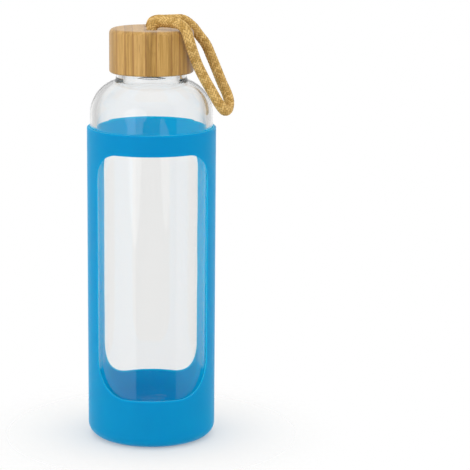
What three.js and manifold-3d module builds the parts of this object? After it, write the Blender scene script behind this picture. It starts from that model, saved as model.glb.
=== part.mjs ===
// A glass water bottle in a silicone sleeve, with a bamboo screw lid and a braided carry cord.
// Millimetres, +Z up. The origin is the centre of the base. The sleeve's two windows face -Y and +Y,
// and the cord's two ends go into the lid on the Y axis, with its loop hanging towards +X.
import * as THREE from "three";
import { mergeVertices } from "three/addons/utils/BufferGeometryUtils.js";
import Module from "manifold-3d";

// Fineness of the round surfaces
const ROUND_STEPS = 48; // facets around the bottle
const KNOT_STEPS = 16; // facets around a knot
const HOLE_STEPS = 20; // facets around a cord hole
const ARC_STEPS = 2; // THREE.Path doubles this for each arc
const MERGE_TOLERANCE = 1e-4;

// Small gaps that keep touching pieces apart
const SNUG_GAP = 0.1;
const CORD_GAP = 0.3;

// Glass bottle
const GLASS_RADIUS = 32.35;
const GLASS_WALL = 3.35;
const GLASS_FLOOR = 6;
const GLASS_CORNER = 5; // outer rounding at the foot
const GLASS_INNER_CORNER = 7;
const PUNT_RADIUS = 20; // hollow under the foot
const PUNT_DEPTH = 1.6;
const SHOULDER_START = 173.5; // height where the straight wall ends
const SHOULDER_RADIUS = 18.9; // radius of the dome in section
const INNER_SHOULDER_RADIUS = 17.5; // makes the wall thinner towards the neck
const NECK_RADIUS = 18.65;
const NECK_FILLET = 2;
const MOUTH_RADIUS = 14.9;
const MOUTH_FILLET = 4.5;
const BEAD_TOP = 196.4;
const BEAD_CHAMFER = 0.8;
const THREAD_ROOT = 17.45;
const RIM_TOP = 204.4;
const RIM_ROUNDING = 1;

// Screw thread: one start, 38 mm finish
const THREAD_LEAD = 4.233; // six threads to the inch
const THREAD_SIDES = 8;
const THREAD_STEPS_PER_TURN = 36;
const GLASS_THREAD = { radius: 17.4, ridge: 1.2, bottom: 198.2, turns: 1.1, sink: 1.4, fade: 0.08 };
const LINER_THREAD = { radius: 18.9, ridge: 1, firstTurn: 0.35, turns: 1.15, sink: 0, fade: 0.08 };

// Silicone sleeve
const SLEEVE_FLOOR = 1.8;
const SLEEVE_WALL = 1.5;
const SLEEVE_TOP = 167;
const SLEEVE_RIM_ROUNDING = 0.5;
const WINDOW_HALF_ANGLE = THREE.MathUtils.degToRad(57);
const WINDOW_BOTTOM = 26.4;
const WINDOW_TOP = 155.9;
const WINDOW_BOTTOM_CORNER = 20; // measured on the unrolled sleeve
const WINDOW_TOP_CORNER = 14;
const WINDOW_CORNER_STEPS = 7;

// Bamboo lid
const LID_RADIUS = 22.1;
const LID_BOTTOM = 195.6;
const LID_TOP = 218.6;
const LID_TOP_ROUNDING = 2.5;
const LID_BOTTOM_ROUNDING = 1.2;
const LID_BORE = 20.1;
const KNOT_ROOM_RADIUS = 16.5;
const KNOT_ROOM_TOP = 213.4;
const CORD_HOLE_OFFSET = 8.3; // from the lid's axis, along Y
const CORD_HOLE_RADIUS = 3.1;

// Threaded liner inside the lid, and its seal
const LINER_RADIUS = LID_BORE - SNUG_GAP;
const LINER_BORE = 18.95;
const LINER_BOTTOM = 196.2;
const LINER_PLATE = 1.2;
const SEAL_INNER = 14.8;
const SEAL_OUTER = 18.3;
const SEAL_THICKNESS = 1.4;

// Braided cord
const CORD_RADIUS = 2.8;
const CORD_SIDES = 10;
const CORD_STEP = 2.8; // length of one straight piece of the tube
const KNOT_RADIUS = 4.9;
const KNOT_HALF_HEIGHT = 2.8;
const FRONT_ARCH_LENGTH = 31; // stretches that bend when the loop is lifted
const REAR_ARCH_LENGTH = 26;
// From the front hole over the lid's edge, round the bottom of the loop, and back to the rear hole.
const CORD_ROUTE = [
  [0, -8.3, 218.6],
  [0, -8.3, 219.2],
  [0.9, -8.3, 221],
  [3.1, -8.4, 222.3],
  [6.8, -9, 222.6],
  [10.8, -11, 222.4],
  [14.3, -14.4, 221.8],
  [17.1, -17.4, 219.2],
  [18.7, -18, 214.6],
  [20.6, -15.4, 208.6],
  [23.4, -11.4, 201],
  [27.2, -8.9, 193.3],
  [31.2, -7.9, 186.3],
  [35, -6.8, 179.8],
  [38, -3.6, 175.8],
  [40.2, 1, 175.8],
  [41, 5.2, 179.2],
  [40, 7.8, 183.2],
  [37.5, 8.7, 188.6],
  [34.8, 9.2, 195.2],
  [32, 9.8, 202],
  [28.9, 10.8, 208.9],
  [25.3, 12.1, 213.7],
  [21.8, 13.5, 218.1],
  [17, 12.8, 221.5],
  [12, 10.8, 221.9],
  [7, 9, 221.9],
  [3, 8.4, 221.9],
  [0.8, 8.3, 221],
  [0, 8.3, 219.2],
  [0, 8.3, 218.6],
];

// Levels and radii that follow from the sizes above
const GLASS_BOTTOM = SLEEVE_FLOOR + SNUG_GAP;
const GLASS_BORE = GLASS_RADIUS - GLASS_WALL;
const SHOULDER_CENTRE = GLASS_RADIUS - SHOULDER_RADIUS;
const INNER_SHOULDER_CENTRE = GLASS_BORE - INNER_SHOULDER_RADIUS;
const SLEEVE_BORE = GLASS_RADIUS + SNUG_GAP;
const SLEEVE_RADIUS = SLEEVE_BORE + SLEEVE_WALL;
const SEAL_BOTTOM = RIM_TOP + SNUG_GAP;
const PLATE_BOTTOM = SEAL_BOTTOM + SEAL_THICKNESS + SNUG_GAP;
const PLATE_TOP = PLATE_BOTTOM + LINER_PLATE;

const FINISHES = {
  glass: { color: 0xe6ecea, roughness: 0.03, metalness: 0, transparent: true, opacity: 0.35 },
  silicone: { color: 0x0090cc, roughness: 0.55, metalness: 0 },
  bamboo: { color: 0xc09a55, roughness: 0.5, metalness: 0 },
  liner: { color: 0xe9e7df, roughness: 0.4, metalness: 0 },
  seal: { color: 0xf2f1ec, roughness: 0.6, metalness: 0 },
  cord: { color: 0xbd9145, roughness: 0.85, metalness: 0 },
};

const wasm = await Module();
wasm.setup();

function solidOf(geometry) {
  const bare = geometry.clone();
  bare.deleteAttribute("normal");
  bare.deleteAttribute("uv");
  const merged = mergeVertices(bare, MERGE_TOLERANCE);
  const vertProperties = merged.attributes.position.array;
  const triVerts = new Uint32Array(merged.index.array);
  return new wasm.Manifold(new wasm.Mesh({ numProp: 3, vertProperties, triVerts }));
}

function geometryOf(solid) {
  const { vertProperties, triVerts } = solid.getMesh();
  const geometry = new THREE.BufferGeometry();
  geometry.setAttribute("position", new THREE.BufferAttribute(vertProperties, 3));
  geometry.setIndex(new THREE.BufferAttribute(triVerts, 1));
  geometry.computeVertexNormals();
  return geometry;
}

// Turns a profile of (radius, height), walked with the material on its left, about the Z axis.
function turned(profile, steps = ROUND_STEPS) {
  const geometry = new THREE.LatheGeometry(profile.getPoints(ARC_STEPS), steps);
  return geometry.rotateX(Math.PI / 2);
}

function roundSection(radius, sides) {
  const corners = [];
  for (let i = 0; i < sides; i += 1) {
    const angle = (2 * Math.PI * i) / sides;
    corners.push(new THREE.Vector2(radius * Math.cos(angle), radius * Math.sin(angle)));
  }
  return new THREE.Shape(corners);
}

// A right-hand helix about Z, sunk radially by up to `sink` over the first and last `fade` turns.
class Helix extends THREE.Curve {
  constructor({ radius, bottom, firstTurn = 0, turns, sink, fade }) {
    super();
    Object.assign(this, { radius, bottom, firstTurn, turns, sink, fade });
  }

  getPoint(t, target = new THREE.Vector3()) {
    const fromEnd = Math.min(t, 1 - t) * this.turns;
    const sunk = this.sink * (1 - Math.min(1, fromEnd / this.fade));
    const turn = this.firstTurn + t * this.turns;
    const angle = 2 * Math.PI * turn;
    const radius = this.radius - sunk;
    return target.set(
      radius * Math.cos(angle),
      radius * Math.sin(angle),
      this.bottom + turn * THREAD_LEAD,
    );
  }
}

function threadRidge(thread) {
  return new THREE.ExtrudeGeometry(roundSection(thread.ridge, THREAD_SIDES), {
    extrudePath: new Helix(thread),
    steps: Math.round(thread.turns * THREAD_STEPS_PER_TURN),
  });
}

// The fillet's centre between a dome and a straight neck of radius `neck`, and the angle where they meet.
function domeToNeck(domeCentre, domeRadius, neck, fillet) {
  const across = neck + fillet - domeCentre;
  const up = Math.sqrt((domeRadius + fillet) ** 2 - across ** 2);
  return { x: neck + fillet, z: SHOULDER_START + up, angle: Math.atan2(up, across) };
}

function glassBody() {
  const profile = new THREE.Path();
  const outside = domeToNeck(SHOULDER_CENTRE, SHOULDER_RADIUS, NECK_RADIUS, NECK_FILLET);
  const inside = domeToNeck(INNER_SHOULDER_CENTRE, INNER_SHOULDER_RADIUS, MOUTH_RADIUS, MOUTH_FILLET);
  const foot = GLASS_RADIUS - GLASS_CORNER;
  const floor = GLASS_BOTTOM + GLASS_FLOOR;
  const rimCentre = RIM_TOP - RIM_ROUNDING;
  profile.moveTo(0, GLASS_BOTTOM + PUNT_DEPTH);
  profile.lineTo(PUNT_RADIUS, GLASS_BOTTOM);
  profile.absarc(foot, GLASS_BOTTOM + GLASS_CORNER, GLASS_CORNER, -Math.PI / 2, 0, false);
  profile.absarc(SHOULDER_CENTRE, SHOULDER_START, SHOULDER_RADIUS, 0, outside.angle / 2, false);
  profile.absarc(SHOULDER_CENTRE, SHOULDER_START, SHOULDER_RADIUS, outside.angle / 2, outside.angle, false);
  profile.absarc(outside.x, outside.z, NECK_FILLET, outside.angle + Math.PI, Math.PI, true);
  profile.lineTo(NECK_RADIUS, BEAD_TOP);
  profile.lineTo(THREAD_ROOT, BEAD_TOP + BEAD_CHAMFER);
  profile.absarc(THREAD_ROOT - RIM_ROUNDING, rimCentre, RIM_ROUNDING, 0, Math.PI / 2, false);
  profile.absarc(MOUTH_RADIUS + RIM_ROUNDING, rimCentre, RIM_ROUNDING, Math.PI / 2, Math.PI, false);
  profile.absarc(inside.x, inside.z, MOUTH_FILLET, Math.PI, inside.angle + Math.PI, false);
  profile.absarc(INNER_SHOULDER_CENTRE, SHOULDER_START, INNER_SHOULDER_RADIUS, inside.angle, 0, true);
  profile.absarc(
    GLASS_BORE - GLASS_INNER_CORNER,
    floor + GLASS_INNER_CORNER,
    GLASS_INNER_CORNER,
    0,
    -Math.PI / 2,
    true,
  );
  profile.lineTo(0, floor + PUNT_DEPTH / 2);
  return geometryOf(solidOf(turned(profile)).add(solidOf(threadRidge(GLASS_THREAD))));
}

// Right half of the window's outline, from bottom to top, as seen along Y. Its corners are round on
// the unrolled sleeve, where distances run round the outer surface.
function windowRightHalf() {
  const reach = WINDOW_HALF_ANGLE * SLEEVE_RADIUS;
  const points = [];
  const addCorner = (radius, height, side) => {
    for (let i = 0; i <= WINDOW_CORNER_STEPS; i += 1) {
      const angle = (Math.PI / 2) * (i / WINDOW_CORNER_STEPS);
      const turn = side > 0 ? angle : Math.PI / 2 - angle;
      const distance = reach - radius * (1 - Math.sin(turn));
      const across = SLEEVE_RADIUS * Math.sin(distance / SLEEVE_RADIUS);
      points.push(new THREE.Vector2(across, height + side * radius * (1 - Math.cos(turn))));
    }
  };
  addCorner(WINDOW_BOTTOM_CORNER, WINDOW_BOTTOM, 1);
  addCorner(WINDOW_TOP_CORNER, WINDOW_TOP, -1);
  return points;
}

// A prism along Y that cuts both windows.
function windowCutter() {
  const right = windowRightHalf();
  const left = right.map((point) => new THREE.Vector2(-point.x, point.y)).reverse();
  const depth = 3 * SLEEVE_RADIUS;
  const geometry = new THREE.ExtrudeGeometry(new THREE.Shape([...right, ...left]), {
    depth,
    bevelEnabled: false,
  });
  return geometry.rotateX(Math.PI / 2).translate(0, depth / 2, 0);
}

function siliconeSleeve() {
  const profile = new THREE.Path();
  const outerCorner = GLASS_CORNER + GLASS_BOTTOM;
  const innerCorner = GLASS_CORNER + SNUG_GAP;
  const rimCentre = SLEEVE_TOP - SLEEVE_RIM_ROUNDING;
  profile.moveTo(0, 0);
  profile.lineTo(SLEEVE_RADIUS - outerCorner, 0);
  profile.absarc(SLEEVE_RADIUS - outerCorner, outerCorner, outerCorner, -Math.PI / 2, 0, false);
  profile.absarc(
    SLEEVE_RADIUS - SLEEVE_RIM_ROUNDING,
    rimCentre,
    SLEEVE_RIM_ROUNDING,
    0,
    Math.PI / 2,
    false,
  );
  profile.lineTo(SLEEVE_BORE, SLEEVE_TOP);
  profile.absarc(SLEEVE_BORE - innerCorner, outerCorner, innerCorner, 0, -Math.PI / 2, true);
  profile.lineTo(0, SLEEVE_FLOOR);
  return geometryOf(solidOf(turned(profile)).subtract(solidOf(windowCutter())));
}

function bambooLid() {
  const profile = new THREE.Path();
  const bottomCentre = LID_RADIUS - LID_BOTTOM_ROUNDING;
  const topCentre = LID_RADIUS - LID_TOP_ROUNDING;
  profile.moveTo(0, KNOT_ROOM_TOP);
  profile.lineTo(KNOT_ROOM_RADIUS, KNOT_ROOM_TOP);
  profile.lineTo(KNOT_ROOM_RADIUS, PLATE_TOP + SNUG_GAP);
  profile.lineTo(LID_BORE, PLATE_TOP + SNUG_GAP);
  profile.lineTo(LID_BORE, LID_BOTTOM);
  profile.absarc(
    bottomCentre,
    LID_BOTTOM + LID_BOTTOM_ROUNDING,
    LID_BOTTOM_ROUNDING,
    -Math.PI / 2,
    0,
    false,
  );
  profile.absarc(topCentre, LID_TOP - LID_TOP_ROUNDING, LID_TOP_ROUNDING, 0, Math.PI / 2, false);
  profile.lineTo(0, LID_TOP);
  let lid = solidOf(turned(profile));
  const height = 2 * (LID_TOP - KNOT_ROOM_TOP);
  for (const side of [-1, 1]) {
    const drill = new THREE.CylinderGeometry(CORD_HOLE_RADIUS, CORD_HOLE_RADIUS, height, HOLE_STEPS);
    drill.rotateX(Math.PI / 2);
    drill.translate(0, side * CORD_HOLE_OFFSET, (LID_TOP + KNOT_ROOM_TOP) / 2);
    lid = lid.subtract(solidOf(drill));
  }
  return geometryOf(lid);
}

function lidLiner() {
  const profile = new THREE.Path();
  profile.moveTo(0, PLATE_BOTTOM);
  profile.lineTo(LINER_BORE, PLATE_BOTTOM);
  profile.lineTo(LINER_BORE, LINER_BOTTOM);
  profile.lineTo(LINER_RADIUS, LINER_BOTTOM);
  profile.lineTo(LINER_RADIUS, PLATE_TOP);
  profile.lineTo(0, PLATE_TOP);
  // The liner's ridge runs half a lead below the neck's, so that the two mesh without touching.
  const ridge = threadRidge({ ...LINER_THREAD, bottom: GLASS_THREAD.bottom - THREAD_LEAD / 2 });
  return geometryOf(solidOf(turned(profile)).add(solidOf(ridge)));
}

function sealRing() {
  const profile = new THREE.Path();
  profile.moveTo(SEAL_INNER, SEAL_BOTTOM);
  profile.lineTo(SEAL_OUTER, SEAL_BOTTOM);
  profile.lineTo(SEAL_OUTER, SEAL_BOTTOM + SEAL_THICKNESS);
  profile.lineTo(SEAL_INNER, SEAL_BOTTOM + SEAL_THICKNESS);
  profile.lineTo(SEAL_INNER, SEAL_BOTTOM);
  return turned(profile);
}

// The knot under the lid's top, with the cord's stem up to the mouth of its hole.
function cordKnot() {
  const profile = new THREE.Path();
  const centre = PLATE_TOP + CORD_GAP + KNOT_HALF_HEIGHT;
  const stemAngle = Math.acos(CORD_RADIUS / KNOT_RADIUS);
  const waist = [KNOT_RADIUS, KNOT_HALF_HEIGHT];
  profile.absellipse(0, centre, ...waist, -Math.PI / 2, 0, false);
  profile.absellipse(0, centre, ...waist, 0, stemAngle, false);
  profile.lineTo(CORD_RADIUS, LID_TOP);
  profile.lineTo(0, LID_TOP);
  return turned(profile, KNOT_STEPS);
}

// Part of a curve, between two distances along it.
class Stretch extends THREE.Curve {
  constructor(whole, from, to) {
    super();
    Object.assign(this, { whole, from, to });
  }

  getPoint(t, target = new THREE.Vector3()) {
    const distance = THREE.MathUtils.lerp(this.from, this.to, t);
    return this.whole.getPointAt(distance / this.whole.getLength(), target);
  }
}

function cordTube(from, to) {
  return new THREE.ExtrudeGeometry(roundSection(CORD_RADIUS, CORD_SIDES), {
    extrudePath: new Stretch(cordLine, from, to),
    steps: Math.round((to - from) / CORD_STEP),
  });
}

const cordLine = new THREE.CatmullRomCurve3(
  CORD_ROUTE.map((point) => new THREE.Vector3(...point)),
  false,
  "centripetal",
);
cordLine.arcLengthDivisions = 800;
const cordLength = cordLine.getLength();

const bottle = new THREE.Group();

function addPiece(name, finish, geometry, y = 0) {
  const piece = new THREE.Mesh(geometry, new THREE.MeshStandardMaterial(FINISHES[finish]));
  piece.name = name;
  piece.position.y = y;
  bottle.add(piece);
}

addPiece("silicone_sleeve", "silicone", siliconeSleeve());
addPiece("glass_body", "glass", glassBody());
addPiece("seal_ring", "seal", sealRing());
addPiece("lid_liner", "liner", lidLiner());
addPiece("bamboo_lid", "bamboo", bambooLid());
addPiece("cord_knot_front", "cord", cordKnot(), -CORD_HOLE_OFFSET);
addPiece("cord_knot_rear", "cord", cordKnot(), CORD_HOLE_OFFSET);
addPiece("cord_arch_front", "cord", cordTube(CORD_GAP, FRONT_ARCH_LENGTH));
addPiece(
  "cord_loop",
  "cord",
  cordTube(FRONT_ARCH_LENGTH + CORD_GAP, cordLength - REAR_ARCH_LENGTH - CORD_GAP),
);
addPiece(
  "cord_arch_rear",
  "cord",
  cordTube(cordLength - REAR_ARCH_LENGTH, cordLength - CORD_GAP),
);

export default bottle;
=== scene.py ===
"""A glass water bottle in a windowed silicone sleeve, with a bamboo screw lid and a braided carry cord.

Metres, +Z up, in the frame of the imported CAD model. The sleeve's windows face -Y and +Y, and the cord's
loop hangs towards +X. Sizes below are in millimetres where a name ends in _MM, and in metres elsewhere.
"""
import math

import bmesh
import bpy
import numpy as np
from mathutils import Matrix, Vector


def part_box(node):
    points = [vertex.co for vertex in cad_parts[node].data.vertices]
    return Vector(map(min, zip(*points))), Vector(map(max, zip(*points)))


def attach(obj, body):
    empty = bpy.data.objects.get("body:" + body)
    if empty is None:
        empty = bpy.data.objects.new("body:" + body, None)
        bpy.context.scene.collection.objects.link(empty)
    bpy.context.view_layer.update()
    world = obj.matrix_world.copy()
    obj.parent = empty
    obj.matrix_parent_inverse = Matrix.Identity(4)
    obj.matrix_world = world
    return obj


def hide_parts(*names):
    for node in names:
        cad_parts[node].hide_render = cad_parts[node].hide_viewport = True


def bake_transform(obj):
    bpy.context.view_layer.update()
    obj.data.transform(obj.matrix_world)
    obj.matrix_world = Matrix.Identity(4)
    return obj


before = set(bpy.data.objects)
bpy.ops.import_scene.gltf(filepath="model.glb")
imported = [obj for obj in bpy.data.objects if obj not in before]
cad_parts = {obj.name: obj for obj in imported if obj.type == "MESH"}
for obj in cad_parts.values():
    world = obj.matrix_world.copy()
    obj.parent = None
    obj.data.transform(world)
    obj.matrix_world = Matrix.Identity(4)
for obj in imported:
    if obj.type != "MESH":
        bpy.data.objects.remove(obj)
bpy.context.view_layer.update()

MM = 0.001
SCENE = bpy.context.scene
QUARTER = math.pi / 2

# Sizes read from the frame, in metres
SLEEVE_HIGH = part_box("silicone_sleeve")[1]
GLASS_LOW, GLASS_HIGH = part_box("glass_body")
SEAL_LOW, SEAL_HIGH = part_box("seal_ring")
LINER_LOW, LINER_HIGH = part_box("lid_liner")
LID_LOW, LID_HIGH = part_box("bamboo_lid")
KNOT_LOW, KNOT_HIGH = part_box("cord_knot_rear")
SLEEVE_RADIUS = SLEEVE_HIGH.x
GLASS_RADIUS = GLASS_HIGH.x
LID_RADIUS = LID_HIGH.x
LID_TOP = LID_HIGH.z
HOLE_OFFSET = (KNOT_LOW.y + KNOT_HIGH.y) / 2

# Glass bottle
WALL = 3.35 * MM
GLASS_FLOOR = 6 * MM
FOOT_ROUNDING = 5 * MM
INNER_ROUNDING = 7 * MM
PUNT_RADIUS = 20 * MM
PUNT_DEPTH = 1.6 * MM
SHOULDER_START = 173.5 * MM
SHOULDER_RADIUS = 18.9 * MM
INNER_SHOULDER_RADIUS = 17.5 * MM  # the wall thins towards the neck
NECK_RADIUS = 18.65 * MM
NECK_FILLET = 2 * MM
MOUTH_RADIUS = 14.9 * MM
MOUTH_FILLET = 4.5 * MM
BEAD_TOP = 196.4 * MM
BEAD_ROUNDING = 0.8 * MM
THREAD_ROOT = 17.45 * MM
RIM_ROUNDING = 1 * MM
FOOT_FLAT = 1.5 * MM  # width of the ring at the hollow's edge

# Screw thread, right-handed
LEAD = 4.233 * MM
GLASS_THREAD = {"bottom": 198.2 * MM, "first": 0.0, "turns": 1.1, "height": 1.15 * MM}
LINER_THREAD = {"bottom": 198.2 * MM - LEAD / 2, "first": 0.35, "turns": 1.15, "height": 0.95 * MM}
THREAD_WIDTH = 0.85 * MM
THREAD_FADE = 0.08  # share of a turn over which each end rises
THREAD_LAPS = 3  # how many turns above the first are looked at
THREAD_NEAR = 0.5 * MM  # how far from its root a surface may be to carry the thread

# Silicone sleeve
SLEEVE_WALL = 1.5 * MM
SLEEVE_FLOOR = 1.8 * MM
SLEEVE_EDGE = 0.42 * MM
SLEEVE_FOOT = 6.9 * MM  # outer rounding at the foot
SLEEVE_RECESS = 22.5 * MM  # radius of the shallow recess under the foot
SLEEVE_RECESS_DEPTH = 0.5 * MM
SLEEVE_PANEL = (10 * MM, 4 * MM)  # where the part with the windows begins, above the base and below the rim
SLEEVE_GRID = 1.3 * MM  # from a window's edge to the first row of the panel's mesh
WINDOW_REACH = math.radians(57) * SLEEVE_RADIUS
WINDOW_BOTTOM = 26.4 * MM
WINDOW_TOP = 155.9 * MM
WINDOW_BOTTOM_CORNER = 20 * MM
WINDOW_TOP_CORNER = 14 * MM

# Bamboo lid and what is inside it
LID_TOP_ROUNDING = 2.5 * MM
LID_BOTTOM_ROUNDING = 1.2 * MM
LID_BORE = 20.1 * MM
KNOT_ROOM_RADIUS = 16.5 * MM
KNOT_ROOM_TOP = 213.4 * MM
HOLE_RADIUS = 3.1 * MM
HOLE_ROUNDING = 0.5 * MM
LINER_BORE = 18.95 * MM
LINER_PLATE = 1.2 * MM
LINER_CORNER = 0.8 * MM
SEAL_INNER = 14.8 * MM
SEAL_EDGE = 0.35 * MM
SEAL_GROOVE = 0.45 * MM

# Braided cord, along the same points as the CAD route, in millimetres
CORD_RADIUS = 2.8 * MM
CORD_ROUTE_MM = [
    (0, -8.3, 218.6),
    (0, -8.3, 219.2),
    (0.9, -8.3, 221),
    (3.1, -8.4, 222.3),
    (6.8, -9, 222.6),
    (10.8, -11, 222.4),
    (14.3, -14.4, 221.8),
    (17.1, -17.4, 219.2),
    (18.7, -18, 214.6),
    (20.6, -15.4, 208.6),
    (23.4, -11.4, 201),
    (27.2, -8.9, 193.3),
    (31.2, -7.9, 186.3),
    (35, -6.8, 179.8),
    (38, -3.6, 175.8),
    (40.2, 1, 175.8),
    (41, 5.2, 179.2),
    (40, 7.8, 183.2),
    (37.5, 8.7, 188.6),
    (34.8, 9.2, 195.2),
    (32, 9.8, 202),
    (28.9, 10.8, 208.9),
    (25.3, 12.1, 213.7),
    (21.8, 13.5, 218.1),
    (17, 12.8, 221.5),
    (12, 10.8, 221.9),
    (7, 9, 221.9),
    (3, 8.4, 221.9),
    (0.8, 8.3, 221),
    (0, 8.3, 219.2),
    (0, 8.3, 218.6),
]
BRAID_STRANDS = 10  # in each of the two directions round the cord
BRAID_DEPTH = 0.3 * MM
BRAID_STEP = 0.22 * MM  # length of one row of the cord's mesh
BRAID_SIDES = 90
STRAND_CROWN = 1.9  # how quickly a strand falls away to its sides
STRAND_DIP = 0.55  # how far it falls where it goes under another, as a share of its height
SUNK_ROWS = 8  # rows of the cord's mesh below each hole's mouth

# Knots under the lid's top, with the stem up into the hole
KNOT_LIFT = 0.4 * MM  # its lowest point, above the CAD knot's
KNOT_CENTRE = 2.8 * MM  # its middle, above the CAD knot's lowest point
KNOT_WAIST = 3.4 * MM  # where the stem begins, above its middle
KNOT_CORE = 1.9 * MM  # radius of its flat middle
KNOT_ROUNDING = 2.7 * MM
KNOT_STEM = 2.55 * MM
KNOT_STEM_TOP = 1.6 * MM  # below the lid's top
KNOT_LOBES = 5
KNOT_LOBE_DEPTH = 0.22 * MM
KNOT_LOBE_LEAN = 900  # radians of turn per metre of height


# ---------------------------------------------------------------- mesh helpers


def arc(x, z, radius, start, end, steps=8):
    """Points of an arc in a section, from one angle to another in degrees."""
    angles = np.radians(np.linspace(start, end, steps + 1))
    return [(x + radius * math.cos(a), z + radius * math.sin(a)) for a in angles]


def straight(a, b, steps):
    """Points from a to b, without the two ends."""
    return [tuple(p) for p in np.linspace(a, b, steps + 1)[1:-1]]


def ring(radius, z, steps, relief=None):
    """One row of a turned surface, as a circle about Z, or a single point on the axis."""
    if radius < 1e-7:
        return [(0.0, 0.0, z)]
    angles = 2 * math.pi * np.arange(steps) / steps
    radii = radius + (relief(angles, radius, z) if relief else 0 * angles)
    return list(zip(radii * np.cos(angles), radii * np.sin(angles), np.full(steps, z)))


class Shell:
    """A closed surface put together from lofted rows of points, welded where the rows meet."""

    def __init__(self):
        self.points, self.faces = [], []

    def loft(self, rows, closed=True):
        """Joins rows of equally many points with quads. A row of one point is the tip of a fan."""
        starts = []
        for row in rows:
            starts.append(len(self.points))
            self.points.extend(tuple(map(float, p)) for p in row)
        for i in range(len(rows) - 1):
            a, b, na, nb = starts[i], starts[i + 1], len(rows[i]), len(rows[i + 1])
            wide = max(na, nb)
            for k in range(wide if closed else wide - 1):
                n = (k + 1) % wide
                face = [a + k % na, a + n % na, b + n % nb, b + k % nb]
                self.faces.append(tuple(dict.fromkeys(face)))
        return self

    def turn(self, profile, steps, relief=None):
        """Turns a section of (radius, height) points about Z."""
        return self.loft([ring(r, z, steps, relief) for r, z in profile])

    def make(self, name, material, sharp=None):
        mesh = bpy.data.meshes.new(name)
        mesh.from_pydata(self.points, [], self.faces)
        work = bmesh.new()
        work.from_mesh(mesh)
        bmesh.ops.remove_doubles(work, verts=work.verts, dist=2e-6)
        bmesh.ops.recalc_face_normals(work, faces=work.faces)
        work.to_mesh(mesh)
        work.free()
        mesh.shade_smooth()
        if sharp:
            mesh.set_sharp_from_angle(angle=math.radians(sharp))
        mesh.materials.append(material)
        piece = bpy.data.objects.new(name, mesh)
        SCENE.collection.objects.link(piece)
        return piece


def settle(piece, body, node):
    """Puts a piece on a CAD body in place of one CAD node, which is hidden."""
    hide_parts(node)
    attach(piece, body)


# ------------------------------------------------------------ material helpers


def node(tree, kind, inputs=None, **settings):
    """Adds a node. An input is given as a value or as the socket that feeds it."""
    made = tree.nodes.new(kind)
    for key, value in settings.items():
        setattr(made, key, value)
    for key, value in (inputs or {}).items():
        if isinstance(value, bpy.types.NodeSocket):
            tree.links.new(value, made.inputs[key])
        else:
            made.inputs[key].default_value = value
    return made


def principled(name, values):
    """A material with one Principled shader. Returns the material, its node tree and the shader."""
    material = bpy.data.materials.new(name)
    material.use_nodes = True
    tree = material.node_tree
    shader = tree.nodes["Principled BSDF"]
    for key, value in values.items():
        shader.inputs[key].default_value = value
    return material, tree, shader


def place(tree, scale=(1, 1, 1)):
    """The place on the piece, in metres times scale."""
    coordinates = node(tree, "ShaderNodeTexCoord")
    mapping = node(tree, "ShaderNodeMapping", {"Vector": coordinates.outputs["Object"], "Scale": scale})
    return mapping.outputs["Vector"]


def noise(tree, vector, scale, detail=3.0, roughness=0.5):
    inputs = {"Vector": vector, "Scale": scale, "Detail": detail, "Roughness": roughness}
    return node(tree, "ShaderNodeTexNoise", inputs).outputs["Fac"]


def math_node(tree, operation, *values):
    return node(tree, "ShaderNodeMath", dict(enumerate(values)), operation=operation).outputs[0]


def spread(tree, value, low, high, to_low=0.0, to_high=1.0):
    """A value's range from low to high, put onto another range."""
    inputs = {"Value": value, "From Min": low, "From Max": high, "To Min": to_low, "To Max": to_high}
    return node(tree, "ShaderNodeMapRange", inputs).outputs["Result"]


def ramp(tree, factor, stops, interpolation="LINEAR"):
    """A colour ramp of (position, colour) stops."""
    made = node(tree, "ShaderNodeValToRGB", {"Fac": factor})
    made.color_ramp.interpolation = interpolation
    elements = made.color_ramp.elements
    while len(elements) < len(stops):
        elements.new(1.0)
    for element, (position, colour) in zip(elements, stops):
        element.position = position
        element.color = (*colour, 1)
    return made.outputs["Color"]


def mix(tree, factor, a, b, blend="MIX"):
    made = node(tree, "ShaderNodeMix", data_type="RGBA", blend_type=blend)
    for index, value in ((0, factor), (6, a), (7, b)):
        if isinstance(value, bpy.types.NodeSocket):
            tree.links.new(value, made.inputs[index])
        else:
            made.inputs[index].default_value = value if index == 0 else (*value, 1)
    return made.outputs[2]


def bump(tree, shader, height, distance, strength=1.0):
    inputs = {"Height": height, "Distance": distance, "Strength": strength}
    tree.links.new(node(tree, "ShaderNodeBump", inputs).outputs["Normal"], shader.inputs["Normal"])


def feed(tree, shader, **sockets):
    for key, value in sockets.items():
        tree.links.new(value, shader.inputs[key.replace("_", " ")])


# -------------------------------------------------------------------- materials


def glass_material():
    """Clear glass, very slightly uneven, as blown glass is. It lets the light through to what is inside."""
    values = {
        "Base Color": (0.965, 0.966, 0.962, 1),
        "Roughness": 0.0,
        "IOR": 1.5,
        "Transmission Weight": 1.0,
    }
    material, tree, shader = principled("clear_glass", values)
    waves = noise(tree, place(tree, (1, 1, 0.35)), 90, 1.0)
    bump(tree, shader, waves, 0.03 * MM)
    path = node(tree, "ShaderNodeLightPath").outputs
    lighting = math_node(tree, "MAXIMUM", path["Is Shadow Ray"], path["Is Diffuse Ray"])
    open_way = node(tree, "ShaderNodeBsdfTransparent", {"Color": (0.98, 0.98, 0.98, 1)}).outputs[0]
    both = node(tree, "ShaderNodeMixShader", {0: lighting, 1: shader.outputs[0], 2: open_way}).outputs[0]
    tree.links.new(both, tree.nodes["Material Output"].inputs["Surface"])
    return material


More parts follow.
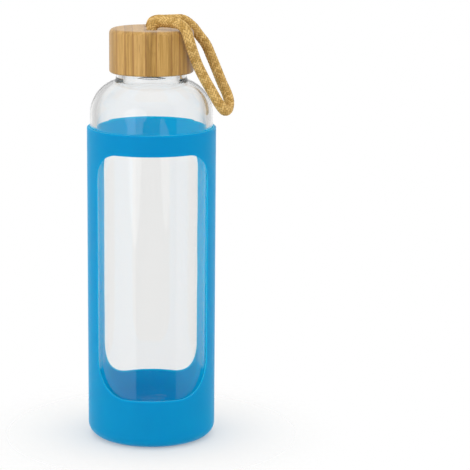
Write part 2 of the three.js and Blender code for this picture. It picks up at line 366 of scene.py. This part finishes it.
def silicone_material():
    """Moulded silicone: soft blue, a little see-through, with painted light that makes its inside paler, and
    a fine matt skin.
    """
    values = {
        "Specular IOR Level": 0.1,
        "IOR": 1.42,
        "Subsurface Weight": 0.8,
        "Subsurface Radius": (0.3, 0.8, 1.0),
        "Subsurface Scale": 4 * MM,
        "Sheen Weight": 0.25,
        "Sheen Roughness": 0.25,
        "Sheen Tint": (0.7, 0.85, 1.0, 1),
    }
    material, tree, shader = principled("blue_silicone", values)
    clouds = noise(tree, place(tree), 45, 3.0)
    skin = noise(tree, place(tree), 2600, 2.0)
    normal = node(tree, "ShaderNodeTexCoord").outputs["Normal"]
    from_axis = place(tree, (1, 1, 0))
    dot = node(tree, "ShaderNodeVectorMath", {0: from_axis, 1: normal}, operation="DOT_PRODUCT")
    # Painted light: faces that look in towards the axis are paler, standing in for light that shines through
    # the silicone wall.
    inside = spread(tree, dot.outputs["Value"], 0.0, -0.5 * SLEEVE_RADIUS)
    colour = mix(tree, spread(tree, clouds, 0.3, 0.7), (0.0, 0.272, 0.527), (0.0, 0.289, 0.554))
    colour = mix(tree, inside, colour, (0.0, 0.52, 0.86))
    roughness = spread(tree, clouds, 0.3, 0.7, 0.46, 0.56)
    feed(tree, shader, Base_Color=colour, Roughness=roughness)
    bump(tree, shader, skin, 0.03 * MM, 0.5)
    return material


# Strips of the bamboo: where each starts along X, and its tone at its two edges, from dark to light. The
# tones mix the strips' own shades with painted light: a painted highlight on the strip from -9.9 mm, and
# painted shade on the two strips from 14 mm, beside the cord.
STRIP_TONES_AND_PAINTED_LIGHT_MM = (
    (-22.1, 0.55, 0.5),
    (-18.4, 0.62, 0.72),
    (-14, 0.38, 0.55),
    (-9.9, 0.8, 0.62),
    (-3.7, 0.42, 0.18),
    (2.1, 0.72, 0.55),
    (9.8, 0.4, 0.5),
    (14, 0.25, 0.3),
    (18.6, 0.15, 0.1),
)


def bamboo_material():
    """Laminated bamboo: upright glued strips, long fibres, and short dark streaks along them. The strips'
    tones also hold a painted highlight and painted shade towards +X.
    """
    material, tree, shader = principled("laminated_bamboo", {"Coat Weight": 0.2, "Coat Roughness": 0.28})
    waves = noise(tree, place(tree, (1, 1, 0.4)), 60, 1.0)
    wander = spread(tree, waves, 0.3, 0.7, -0.25 * MM, 0.25 * MM)
    across = node(tree, "ShaderNodeSeparateXYZ", {"Vector": place(tree)}).outputs["X"]
    position = spread(tree, math_node(tree, "ADD", across, wander), -LID_RADIUS, LID_RADIUS)
    starts = [0.5 + x * MM / (2 * LID_RADIUS) for x, _, _ in STRIP_TONES_AND_PAINTED_LIGHT_MM]
    ends = [*starts[1:], 1.0]
    tones, glue = [], []
    for start, end, (_, left, right) in zip(starts, ends, STRIP_TONES_AND_PAINTED_LIGHT_MM):
        tones += [(start + 0.001, (left,) * 3), (end - 0.001, (right,) * 3)]
        glue += [(start + 0.008, (0.0,) * 3), (end - 0.008, (0.0,) * 3), (end, (1.0,) * 3)]
    # Painted light in these tones: the strip from -9.9 mm is lighter for a painted highlight, and the strips
    # from 14 mm are darker for painted shade beside the cord.
    strip_tone_and_painted_light = math_node(tree, "MULTIPLY", ramp(tree, position, tones), 0.75)
    line = ramp(tree, position, glue)
    fibre = noise(tree, place(tree, (1, 1, 0.03)), 1100, 4.0, 0.7)
    band = noise(tree, place(tree, (1, 1, 0.02)), 420, 2.0)
    streak = noise(tree, place(tree, (1, 1, 0.06)), 2300, 2.0)
    tone = math_node(tree, "ADD", strip_tone_and_painted_light, spread(tree, band, 0.3, 0.7, -0.12, 0.22))
    tone = math_node(tree, "ADD", tone, spread(tree, fibre, 0.3, 0.7, -0.25, 0.28))
    stops = [
        (0.0, (0.25, 0.12, 0.018)),
        (0.4, (0.47, 0.255, 0.05)),
        (0.75, (0.64, 0.37, 0.1)),
        (1.0, (0.78, 0.52, 0.19)),
    ]
    colour = ramp(tree, tone, stops)
    dark = spread(tree, streak, 0.62, 0.72)
    colour = mix(tree, math_node(tree, "MULTIPLY", dark, 0.6), colour, (0.22, 0.09, 0.02))
    colour = mix(tree, math_node(tree, "MULTIPLY", line, 0.75), colour, (0.3, 0.115, 0.02))
    feed(tree, shader, Base_Color=colour, Roughness=spread(tree, fibre, 0.3, 0.7, 0.36, 0.5))
    bump(tree, shader, math_node(tree, "SUBTRACT", fibre, dark), 0.05 * MM, 0.6)
    return material


def plastic_material():
    """Pale moulded plastic with a fine grain."""
    material, tree, shader = principled("moulded_plastic", {"Specular IOR Level": 0.5})
    grain = noise(tree, place(tree), 900, 3.0)
    colour = mix(tree, grain, (0.8, 0.79, 0.75), (0.86, 0.85, 0.82))
    feed(tree, shader, Base_Color=colour, Roughness=spread(tree, grain, 0.3, 0.7, 0.32, 0.45))
    bump(tree, shader, grain, 0.02 * MM, 0.5)
    return material


def seal_material():
    """Matt white silicone."""
    material, tree, shader = principled("white_seal", {"Specular IOR Level": 0.35})
    grain = noise(tree, place(tree), 1800, 2.0)
    colour = mix(tree, grain, (0.84, 0.83, 0.8), (0.9, 0.895, 0.87))
    feed(tree, shader, Base_Color=colour, Roughness=spread(tree, grain, 0.3, 0.7, 0.55, 0.7))
    bump(tree, shader, grain, 0.02 * MM, 0.5)
    return material


def cord_material():
    """Braided yarn: each strand has its own tone and fine twisted fibres, with painted shade in the gaps
    beside it.
    """
    values = {
        "Roughness": 0.85,
        "Specular IOR Level": 0.2,
        "Sheen Weight": 0.12,
        "Sheen Roughness": 0.45,
        "Sheen Tint": (0.9, 0.75, 0.5, 1),
    }
    material, tree, shader = principled("braided_yarn", values)
    crest = node(tree, "ShaderNodeAttribute", attribute_name="crest").outputs["Fac"]
    tone = node(tree, "ShaderNodeAttribute", attribute_name="tone").outputs["Fac"]
    fibre = noise(tree, place(tree), 3200, 3.0, 0.6)
    twist = spread(tree, fibre, 0.3, 0.7, -0.1, 0.5)
    light = math_node(tree, "ADD", math_node(tree, "MULTIPLY", tone, 0.7), twist)
    colour = mix(tree, light, (0.42, 0.225, 0.038), (0.85, 0.565, 0.205))
    # Painted shade: where the strands dip low between each other, the colour is darkened towards a deep
    # brown.
    colour = mix(tree, spread(tree, crest, 0.1, 0.75), (0.13, 0.055, 0.007), colour)
    feed(tree, shader, Base_Color=colour)
    bump(tree, shader, fibre, 0.08 * MM, 0.7)
    return material


# ------------------------------------------------------------------ the camera

CAMERA_DISTANCE = 1.06
CAMERA_HEIGHT = 0.3287
CAMERA_PITCH = math.radians(11.73)
CAMERA_AZIMUTH = math.radians(-1.5)
CAMERA_LENS = 156.1
CAMERA_SHIFT = 0.1777  # the bottle stands left of the picture's middle


def make_camera():
    data = bpy.data.cameras.new("camera")
    data.lens = CAMERA_LENS
    data.shift_x = CAMERA_SHIFT
    camera = bpy.data.objects.new("camera", data)
    camera.location = (
        CAMERA_DISTANCE * math.sin(CAMERA_AZIMUTH),
        -CAMERA_DISTANCE * math.cos(CAMERA_AZIMUTH),
        CAMERA_HEIGHT,
    )
    camera.rotation_euler = (QUARTER - CAMERA_PITCH, 0, CAMERA_AZIMUTH)
    SCENE.collection.objects.link(camera)
    SCENE.camera = camera


# -------------------------------------------------------------------- the cord


def smooth_line(points, step):
    """Points about a step apart on the centripetal Catmull-Rom curve through the given points."""
    points = np.array(points, float)
    padded = np.vstack([2 * points[0] - points[1], points, 2 * points[-1] - points[-2]])
    fine = []
    for p0, p1, p2, p3 in zip(padded, padded[1:], padded[2:], padded[3:]):
        d0, d1, d2 = (math.sqrt(np.linalg.norm(b - a)) for a, b in ((p0, p1), (p1, p2), (p2, p3)))
        m1 = d1 * ((p1 - p0) / d0 - (p2 - p0) / (d0 + d1) + (p2 - p1) / d1)
        m2 = d1 * ((p2 - p1) / d1 - (p3 - p1) / (d1 + d2) + (p3 - p2) / d2)
        t = np.linspace(0, 1, 60, endpoint=False)[:, None]
        fine.append(
            (2 * t**3 - 3 * t**2 + 1) * p1 + (t**3 - 2 * t**2 + t) * m1
            + (3 * t**2 - 2 * t**3) * p2 + (t**3 - t**2) * m2
        )
    fine = np.vstack([*fine, points[-1]])
    along = np.concatenate([[0], np.cumsum(np.linalg.norm(np.diff(fine, axis=0), axis=1))])
    even = np.linspace(0, along[-1], round(along[-1] / step) + 1)
    return np.stack([np.interp(even, along, fine[:, k]) for k in range(3)], axis=1), along[-1]


def carried_frames(line):
    """Two directions across the line at each point, turned as little as possible along it."""
    tangents = np.gradient(line, axis=0)
    tangents /= np.linalg.norm(tangents, axis=1)[:, None]
    side = np.array([0.0, 1.0, 0.0])
    sides = []
    for tangent in tangents:
        side = side - tangent * (side @ tangent)
        side /= np.linalg.norm(side)
        sides.append(side)
    sides = np.array(sides)
    return sides, np.cross(tangents, sides)


def braid(across, along):
    """Height from 0 to 1 and tone of a two-over, two-under braid, with strands a unit apart."""
    first, second = across + along, across - along
    i, j = np.round(first), np.round(second)
    di, dj = first - i, second - j
    turn = np.mod(i + j, 4)
    on_top = turn < 2
    across_strand = np.where(on_top, di, dj)
    along_float = np.where(on_top, turn + dj + 0.5, turn - 2 + di + 0.5) / 2
    body = np.sqrt(np.clip(1 - (STRAND_CROWN * across_strand) ** 2, 0, 1))
    ends = 1 - STRAND_DIP * np.abs(2 * along_float - 1) ** 3
    strand = np.where(on_top, np.mod(i, BRAID_STRANDS), np.mod(j, BRAID_STRANDS) + BRAID_STRANDS)
    # The large factors only scatter the tones, in the same way each time.
    tone = np.mod(np.sin(strand * 12.9898 + np.floor((i + j) / 4) * 4.1414) * 43758.5453, 1.0)
    return body * ends, tone


def make_cord(material):
    """The whole visible cord, from one hole of the lid to the other, as one braided tube."""
    line, length = smooth_line(np.array(CORD_ROUTE_MM) * MM, BRAID_STEP)
    sink = np.array([0, 0, BRAID_STEP])
    below = [line[0] - k * sink for k in range(SUNK_ROWS, 0, -1)]
    beyond = [line[-1] - k * sink for k in range(1, SUNK_ROWS + 1)]
    line = np.vstack([below, line, beyond])
    sides, ups = carried_frames(line)
    angles = 2 * math.pi * np.arange(BRAID_SIDES) / BRAID_SIDES
    around = np.tile(angles * BRAID_STRANDS / (2 * math.pi), (len(line), 1))
    pitch = 2 * math.pi * CORD_RADIUS / BRAID_STRANDS
    along = np.tile((np.arange(len(line)) * BRAID_STEP / pitch)[:, None], (1, BRAID_SIDES))
    height, tone = braid(around, along)
    radius = CORD_RADIUS - BRAID_DEPTH + BRAID_DEPTH * height
    places = (
        line[:, None, :]
        + (radius * np.cos(angles))[:, :, None] * sides[:, None, :]
        + (radius * np.sin(angles))[:, :, None] * ups[:, None, :]
    )
    shell = Shell()
    shell.loft([[line[0]], *places, [line[-1]]])
    mesh = bpy.data.meshes.new("cord")
    mesh.from_pydata(shell.points, [], shell.faces)
    mesh.shade_smooth()
    for name, values in (("crest", height), ("tone", tone)):
        attribute = mesh.attributes.new(name, "FLOAT", "POINT")
        attribute.data.foreach_set("value", np.concatenate([[0], values.ravel(), [0]]).astype(np.float32))
    mesh.materials.append(material)
    cord = bpy.data.objects.new("cord", mesh)
    SCENE.collection.objects.link(cord)
    return cord, line, length


def make_knot(name, side, material):
    """A flattened knot under the lid's top, with the cord's stem up into the hole."""
    centre, top = KNOT_LOW.z + KNOT_CENTRE, LID_TOP - KNOT_STEM_TOP
    profile = [(0, KNOT_LOW.z + KNOT_LIFT)]
    profile += arc(KNOT_CORE, centre, KNOT_ROUNDING, -90, 62, 16)
    profile += [(KNOT_STEM, centre + KNOT_WAIST), (KNOT_STEM, top), (0, top)]

    def lobes(angles, radius, z):
        waves = np.cos(KNOT_LOBES * angles + KNOT_LOBE_LEAN * (z - centre))
        return KNOT_LOBE_DEPTH * waves * min(1, radius / KNOT_STEM)

    shell = Shell().turn(profile, 64, lobes)
    shell.points = [(x, y + side * HOLE_OFFSET, z) for x, y, z in shell.points]
    knot = shell.make(name, material)
    for attribute, value in (("crest", 0.9), ("tone", 0.5)):
        made = knot.data.attributes.new(attribute, "FLOAT", "POINT")
        made.data.foreach_set("value", np.full(len(knot.data.vertices), value, np.float32))
    return knot


# ----------------------------------------------------------------- the threads


def thread_relief(bottom, first, turns, height, sign, near):
    """Relief of a thread on a turned surface, outwards for sign 1, at radii close to near."""

    def relief(angles, radius, z):
        out = np.zeros_like(angles)
        if abs(radius - near) > THREAD_NEAR:
            return out
        for lap in range(THREAD_LAPS):
            turn = angles / (2 * math.pi) + lap
            inside = np.clip(np.minimum(turn - first, first + turns - turn) / THREAD_FADE, 0, 1)
            from_crest = (z - bottom - turn * LEAD) / THREAD_WIDTH
            out = np.maximum(out, inside * height * np.exp(-(from_crest**2) * 1.4))
        return sign * out

    return relief


# --------------------------------------------------------------- rigid pieces


def dome_to_neck(dome, dome_radius, neck, fillet):
    """Centre of the fillet between the shoulder's dome and a straight neck, and the angle where they meet."""
    across = neck + fillet - dome
    up = math.sqrt((dome_radius + fillet) ** 2 - across**2)
    return neck + fillet, SHOULDER_START + up, math.degrees(math.atan2(up, across))


def make_glass(material):
    """The bottle as one turned shell, from its foot up the outside and down the inside, with its thread."""
    bottom, rim = GLASS_LOW.z, GLASS_HIGH.z
    bore = GLASS_RADIUS - WALL
    dome, inner_dome = GLASS_RADIUS - SHOULDER_RADIUS, bore - INNER_SHOULDER_RADIUS
    foot = GLASS_RADIUS - FOOT_ROUNDING
    floor = bottom + GLASS_FLOOR
    out_x, out_z, out_angle = dome_to_neck(dome, SHOULDER_RADIUS, NECK_RADIUS, NECK_FILLET)
    in_x, in_z, in_angle = dome_to_neck(inner_dome, INNER_SHOULDER_RADIUS, MOUTH_RADIUS, MOUTH_FILLET)
    thread_low = (THREAD_ROOT, BEAD_TOP + BEAD_ROUNDING)
    thread_high = (THREAD_ROOT, rim - RIM_ROUNDING)
    profile = [(0, bottom + PUNT_DEPTH)]
    profile += straight((0, bottom + PUNT_DEPTH), (PUNT_RADIUS, bottom), 6)
    profile += [(PUNT_RADIUS, bottom), (PUNT_RADIUS + FOOT_FLAT, bottom)]
    profile += arc(foot, bottom + FOOT_ROUNDING, FOOT_ROUNDING, -90, 0, 12)
    profile += straight((GLASS_RADIUS, bottom + FOOT_ROUNDING), (GLASS_RADIUS, SHOULDER_START), 12)
    profile += arc(dome, SHOULDER_START, SHOULDER_RADIUS, 0, out_angle, 40)
    profile += arc(out_x, out_z, NECK_FILLET, 180 + out_angle, 180, 10)[1:]
    profile += [(NECK_RADIUS, BEAD_TOP - BEAD_ROUNDING)]
    profile += arc(NECK_RADIUS - BEAD_ROUNDING, BEAD_TOP - BEAD_ROUNDING, BEAD_ROUNDING, 0, 70, 6)[1:]
    profile += [thread_low, *straight(thread_low, thread_high, 28), thread_high]
    profile += arc(THREAD_ROOT - RIM_ROUNDING, rim - RIM_ROUNDING, RIM_ROUNDING, 0, 90, 6)[1:]
    profile += arc(MOUTH_RADIUS + RIM_ROUNDING, rim - RIM_ROUNDING, RIM_ROUNDING, 90, 180, 6)
    profile += arc(in_x, in_z, MOUTH_FILLET, 180, 180 + in_angle, 12)
    profile += arc(inner_dome, SHOULDER_START, INNER_SHOULDER_RADIUS, in_angle, 0, 40)[1:]
    profile += straight((bore, SHOULDER_START), (bore, floor + INNER_ROUNDING), 12)
    profile += arc(bore - INNER_ROUNDING, floor + INNER_ROUNDING, INNER_ROUNDING, 0, -90, 14)
    profile += straight((bore - INNER_ROUNDING, floor), (0, floor + PUNT_DEPTH / 2), 6)
    profile += [(0, floor + PUNT_DEPTH / 2)]
    relief = thread_relief(**GLASS_THREAD, sign=1, near=THREAD_ROOT)
    return Shell().turn(profile, 192, relief).make("bottle_glass", material)


SIDE_STEPS = 24  # along a window's straight side
SPAN_STEPS = 40  # along its straight top or bottom
CORNER_STEPS = 24
SLEEVE_STEPS = 2 * (SPAN_STEPS + CORNER_STEPS)  # all round the sleeve
RING_STEPS = 12  # between a window and the edge of its half


def window_outline(grow):
    """The window's outline on the unrolled sleeve, grown by a distance, anticlockwise from bottom left."""
    reach = WINDOW_REACH + grow
    low, high = WINDOW_BOTTOM - grow, WINDOW_TOP + grow
    corners = (
        (1, -1, WINDOW_BOTTOM_CORNER + grow, -90),
        (1, 1, WINDOW_TOP_CORNER + grow, 0),
        (-1, 1, WINDOW_TOP_CORNER + grow, 90),
        (-1, -1, WINDOW_BOTTOM_CORNER + grow, 180),
    )
    turns = []
    for x, z, radius, start in corners:
        centre = (x * (reach - radius), high - radius if z > 0 else low + radius)
        turns.append(arc(*centre, radius, start, start + 90, CORNER_STEPS))
    sides = (SPAN_STEPS, SIDE_STEPS, SPAN_STEPS, SIDE_STEPS)
    outline = []
    for k, steps in enumerate(sides):
        before = turns[k - 1][-1]
        outline += [before, *straight(before, turns[k][0], steps), *turns[k][:-1]]
    return np.array(outline)


def cell_outline(low, high):
    """The half sleeve that a window lies in, with as many points as the window's outline."""
    reach = QUARTER * SLEEVE_RADIUS
    corners = [(-reach, low), (reach, low), (reach, high), (-reach, high)]
    counts = (SPAN_STEPS, SIDE_STEPS, SPAN_STEPS, SIDE_STEPS)
    outline = []
    for k, steps in enumerate(counts):
        a, b = corners[k], corners[(k + 1) % 4]
        outline += [a, *straight(a, b, steps + CORNER_STEPS)]
    return np.roll(np.array(outline), -CORNER_STEPS // 2, axis=0)


def wrapped(outline, radius, middle):
    """An unrolled outline, rolled up to a radius about the angle of a window's middle."""
    angles = middle + outline[:, 0] / SLEEVE_RADIUS
    return list(zip(radius * np.cos(angles), radius * np.sin(angles), outline[:, 1]))


def cut_through(outline, radius):
    """An outline on the outside, carried straight in along Y to a smaller radius."""
    across = SLEEVE_RADIUS * np.sin(outline[:, 0] / SLEEVE_RADIUS)
    return np.stack([SLEEVE_RADIUS * np.arcsin(across / radius), outline[:, 1]], axis=1)


def make_sleeve(material):
    """The sleeve: two halves with a window in each, then its rim, its foot and the well inside the foot."""
    top, bore, edge = SLEEVE_HIGH.z, SLEEVE_RADIUS - SLEEVE_WALL, SLEEVE_EDGE
    low, high = SLEEVE_PANEL[0], top - SLEEVE_PANEL[1]
    cell, hole = cell_outline(low, high), window_outline(SLEEVE_GRID)
    shell = Shell()
    for middle in (-QUARTER, QUARTER):
        shares = np.linspace(0, 1, RING_STEPS + 1)
        outer = [wrapped(cell + (hole - cell) * s, SLEEVE_RADIUS, middle) for s in shares]
        inside = cut_through(hole, bore)
        inner = [wrapped(cell + (inside - cell) * s, bore, middle) for s in shares[::-1]]
        lip = arc(edge, SLEEVE_RADIUS - edge, edge, 90, 180, 5) + arc(edge, bore + edge, edge, 180, 270, 5)
        lips = [wrapped(cut_through(window_outline(grow), radius), radius, middle) for grow, radius in lip]
        shell.loft([*outer, *lips, *inner])
    rim = [(SLEEVE_RADIUS, high), (SLEEVE_RADIUS, top - 1.2 * MM)]
    rim += arc(SLEEVE_RADIUS - edge, top - edge, edge, 0, 90, 5)
    rim += arc(bore + edge, top - edge, edge, 90, 180, 5)
    rim += [(bore, top - 1.2 * MM), (bore, high)]
    foot = [(SLEEVE_RADIUS, low)]
    foot += arc(SLEEVE_RADIUS - SLEEVE_FOOT, SLEEVE_FOOT, SLEEVE_FOOT, 0, -90, 14)
    foot += [(SLEEVE_RECESS, 0), (SLEEVE_RECESS - 0.5 * MM, 0.3 * SLEEVE_RECESS_DEPTH)]
    foot += [(r, SLEEVE_RECESS_DEPTH) for r in (SLEEVE_RECESS - 0.9 * MM, 12 * MM, 0)]
    inner_corner = SLEEVE_FOOT - SLEEVE_FLOOR
    well = [(0, SLEEVE_FLOOR), (14 * MM, SLEEVE_FLOOR)]
    well += arc(bore - inner_corner, SLEEVE_FOOT, inner_corner, -90, 0, 12)
    well += [(bore, low)]
    shell.turn(rim, SLEEVE_STEPS)
    shell.turn(foot, SLEEVE_STEPS)
    shell.turn(well, SLEEVE_STEPS)
    return shell.make("sleeve", material)


ARC_STEPS = 64  # round half of the lid
CHORD_STEPS = 32


def half_disc(radius, z, side):
    """The edge of half a disc, on the +Y or the -Y side."""
    angles = math.pi * (np.arange(ARC_STEPS) / ARC_STEPS + (0 if side > 0 else 1))
    rim = [(radius * math.cos(a), radius * math.sin(a), z) for a in angles]
    end = -side * radius
    chord = [(x, 0.0, z) for x in np.linspace(end, -end, CHORD_STEPS + 1)[:-1]]
    return np.array(rim + chord)


def drilled_half(shell, side):
    """The lid's top and the knot room's ceiling on one side, with the cord hole between them."""
    centre = np.array([0, side * HOLE_OFFSET, 0])
    ceiling = half_disc(KNOT_ROOM_RADIUS, KNOT_ROOM_TOP, side)
    top = half_disc(LID_RADIUS - LID_TOP_ROUNDING, LID_TOP, side)

    def hole(edge, radius, z):
        out = (edge - centre) * (1, 1, 0)
        out /= np.linalg.norm(out, axis=1)[:, None]
        return centre + out * radius + (0, 0, z)

    wide = HOLE_RADIUS + HOLE_ROUNDING
    mouth = arc(wide, LID_TOP - HOLE_ROUNDING, HOLE_ROUNDING, 180, 90, 5)
    first = hole(ceiling, HOLE_RADIUS, KNOT_ROOM_TOP)
    rows = [ceiling + (first - ceiling) * s for s in (0, 0.3, 0.6, 0.85, 1)]
    rows += [hole(top, radius, z) for radius, z in mouth]
    last = hole(top, wide, LID_TOP)
    rows += [last + (top - last) * s for s in (0.08, 0.3, 0.6, 0.9, 1)]
    shell.loft([list(row) for row in rows])


def make_lid(material):
    """The lid: a drilled top in two halves, then its side and its inside as one turned shell."""
    bottom = LID_LOW.z
    shell = Shell()
    for side in (-1, 1):
        drilled_half(shell, side)
    top, low = LID_RADIUS - LID_TOP_ROUNDING, LID_RADIUS - LID_BOTTOM_ROUNDING
    profile = arc(top, LID_TOP - LID_TOP_ROUNDING, LID_TOP_ROUNDING, 90, 0, 12)
    profile += straight(profile[-1], (LID_RADIUS, bottom + LID_BOTTOM_ROUNDING), 8)
    profile += arc(low, bottom + LID_BOTTOM_ROUNDING, LID_BOTTOM_ROUNDING, 0, -90, 8)
    step = LINER_HIGH.z + 0.1 * MM
    profile += [(LID_BORE + 0.3 * MM, bottom), (LID_BORE, bottom + 0.3 * MM), (LID_BORE, step)]
    profile += [(KNOT_ROOM_RADIUS, step), (KNOT_ROOM_RADIUS, KNOT_ROOM_TOP)]
    shell.turn(profile, 2 * ARC_STEPS)
    return shell.make("lid", material, sharp=50)


def make_liner(material):
    """The threaded cup pressed into the lid."""
    radius, bottom, top = LINER_HIGH.x, LINER_LOW.z, LINER_HIGH.z
    ceiling = top - LINER_PLATE
    corner = LINER_BORE - LINER_CORNER
    profile = [(0, ceiling), (corner, ceiling)]
    profile += arc(corner, ceiling - LINER_CORNER, LINER_CORNER, 90, 0, 4)[1:]
    profile += straight(profile[-1], (LINER_BORE, bottom + 0.4 * MM), 34)
    profile += arc(LINER_BORE + 0.4 * MM, bottom + 0.4 * MM, 0.4 * MM, 180, 270, 4)
    profile += [(radius - 0.2 * MM, bottom), (radius, bottom + 0.2 * MM)]
    profile += [(radius, top - 0.2 * MM), (radius - 0.2 * MM, top), (0, top)]
    relief = thread_relief(**LINER_THREAD, sign=-1, near=LINER_BORE)
    return Shell().turn(profile, 144, relief).make("liner", material, sharp=40)


def make_seal(material):
    """A ring with a groove where it sits on the glass rim."""
    inner, outer = SEAL_INNER, SEAL_HIGH.x
    low, high, edge = SEAL_LOW.z, SEAL_HIGH.z, SEAL_EDGE
    profile = arc(outer - edge, low + edge, edge, -90, 0, 4)
    profile += arc(outer - edge, high - edge, edge, 0, 90, 4)
    profile += arc(inner + edge, high - edge, edge, 90, 180, 4)
    profile += arc(inner + edge, low + edge, edge, 180, 270, 4)
    middle = (inner + outer) / 2
    profile += arc(middle, low, SEAL_GROOVE, 180, 0, 6)
    profile += [profile[0]]
    return Shell().turn(profile, 96).make("seal", material)


# --------------------------------------------------------- floor and the light

FLOOR_RADIUS = 0.3
FLOOR_FADE = (0.036, 0.11)  # distances from the bottle's axis between which it fades
FLOOR_SINK = 0.1 * MM


def make_floor():
    """A pale round floor that fades into the white surroundings. The glass doesn't mirror or show it."""
    shell = Shell().turn([(0, 0), (FLOOR_FADE[0], 0), (FLOOR_FADE[1], 0), (FLOOR_RADIUS, 0)], 96)
    material = bpy.data.materials.new("pale_floor")
    material.use_nodes = True
    tree = material.node_tree
    tree.nodes.clear()
    distance = node(tree, "ShaderNodeVectorMath", {0: place(tree)}, operation="LENGTH").outputs["Value"]
    inputs = {"Value": distance, "From Min": FLOOR_FADE[0], "From Max": FLOOR_FADE[1], "To Min": 0.3}
    fade = node(tree, "ShaderNodeMapRange", inputs, interpolation_type="SMOOTHSTEP").outputs["Result"]
    white = node(tree, "ShaderNodeBsdfDiffuse", {"Color": (0.88, 0.865, 0.845, 1)}).outputs[0]
    clear = node(tree, "ShaderNodeBsdfTransparent").outputs[0]
    mixed = node(tree, "ShaderNodeMixShader", {0: fade, 1: white, 2: clear}).outputs[0]
    node(tree, "ShaderNodeOutputMaterial", {"Surface": mixed})
    floor = shell.make("floor", material)
    floor.location.z = -FLOOR_SINK
    floor.visible_glossy = False
    floor.visible_transmission = False


# Brightness by the direction round the bottle, in degrees from its front: of what shiny surfaces mirror,
# with a soft box on each side, of what is seen through the glass, and how much a dark card keeps out of
# the reflections inside the glass
MIRRORED = (
    (-180, 1.0),
    (-125, 0.9),
    (-115, 1.0),
    (-32, 1.0),
    (-30, 0.05),
    (45, 0.05),
    (47, 0.65),
    (115, 0.65),
    (125, 0.9),
    (180, 1.0),
)
SEEN = (
    (-180, 1.0),
    (-167, 1.0),
    (-158, 0.66),
    (-136, 0.62),
    (-120, 1.0),
    (120, 1.0),
    (136, 0.62),
    (158, 0.66),
    (167, 1.0),
    (180, 1.0),
)
CARD = (
    (-180, 0.0),
    (-136, 0.0),
    (-120, 0.9),
    (120, 0.9),
    (136, 0.0),
    (180, 0.0),
)
STUDIO_TOP = 0.6
STUDIO_TOP_START = (0.5, 0.95)  # how far up it begins, as the height of a unit direction
EVEN = 0.9  # brightness of the surroundings that light everything else, low down and overhead
OVERHEAD = 1.2
OVERHEAD_START = (0.3, 0.75)
LAMP_PLACE = (-0.95, -1.45, 0.45)
LAMP_TARGET = (0, 0, 0.12)
LAMP_SIZE = 1.5
LAMP_POWER = 4  # watts


def make_world():
    """Soft white surroundings. The glass mirrors and shows a graded studio, which gives it its bands."""
    world = bpy.data.worlds.new("studio")
    world.use_nodes = True
    SCENE.world = world
    tree = world.node_tree
    tree.nodes.clear()
    direction = node(tree, "ShaderNodeTexCoord").outputs["Generated"]
    xyz = node(tree, "ShaderNodeSeparateXYZ", {"Vector": direction}).outputs
    angle = math_node(tree, "ARCTAN2", xyz["X"], math_node(tree, "MULTIPLY", xyz["Y"], -1.0))
    position = spread(tree, angle, -math.pi, math.pi)
    mirrored, seen, card = (
        ramp(tree, position, [(0.5 + degrees / 360, (value,) * 3) for degrees, value in stops])
        for stops in (MIRRORED, SEEN, CARD)
    )
    path = node(tree, "ShaderNodeLightPath").outputs
    above = spread(tree, xyz["Z"], *STUDIO_TOP_START)
    reflected = math_node(tree, "GREATER_THAN", path["Glossy Depth"], 0.5)
    kept_out = math_node(tree, "MULTIPLY", card, math_node(tree, "SUBTRACT", reflected, above))
    seen = mix(tree, kept_out, seen, (0.0,) * 3)
    mirrored = mix(tree, above, mirrored, (STUDIO_TOP,) * 3)
    light = mix(tree, spread(tree, xyz["Z"], *OVERHEAD_START), (EVEN,) * 3, (OVERHEAD,) * 3)
    light = mix(tree, path["Is Glossy Ray"], light, mirrored)
    light = mix(tree, path["Is Transmission Ray"], light, seen)
    light = mix(tree, path["Is Camera Ray"], light, (1.0,) * 3)
    surroundings = node(tree, "ShaderNodeBackground", {"Color": light, "Strength": 1.0}).outputs[0]
    node(tree, "ShaderNodeOutputWorld", {"Surface": surroundings})


def make_lamp(name, place_at, size, power):
    """A soft round lamp that shines at the bottle's middle."""
    data = bpy.data.lights.new(name, "AREA")
    data.shape = "DISK"
    data.size = size
    data.energy = power
    lamp = bpy.data.objects.new(name, data)
    lamp.location = place_at
    aim = np.array(LAMP_TARGET) - np.array(place_at)
    tilt = math.atan2(math.hypot(aim[0], aim[1]), -aim[2])
    lamp.rotation_euler = (tilt, 0, math.atan2(aim[0], -aim[1]) + math.pi)
    SCENE.collection.objects.link(lamp)


# -------------------------------------------------------------------- the scene


make_camera()

yarn = cord_material()
cord, cord_line, cord_length = make_cord(yarn)
knots = [make_knot("knot_front", -1, yarn), make_knot("knot_rear", 1, yarn)]
settle(knots[0], "lid", "cord_knot_front")
settle(knots[1], "lid", "cord_knot_rear")
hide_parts("cord_arch_front", "cord_loop", "cord_arch_rear")
cord.visible_glossy = False  # so the glass shoulder doesn't mirror it
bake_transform(cord)

settle(make_sleeve(silicone_material()), "sleeve", "silicone_sleeve")
settle(make_glass(glass_material()), "glass", "glass_body")
settle(make_seal(seal_material()), "seal", "seal_ring")
settle(make_liner(plastic_material()), "lid", "lid_liner")
settle(make_lid(bamboo_material()), "lid", "bamboo_lid")

make_floor()
make_world()
make_lamp("left_lamp", LAMP_PLACE, LAMP_SIZE, LAMP_POWER)
SCENE.view_settings.view_transform = "Standard"
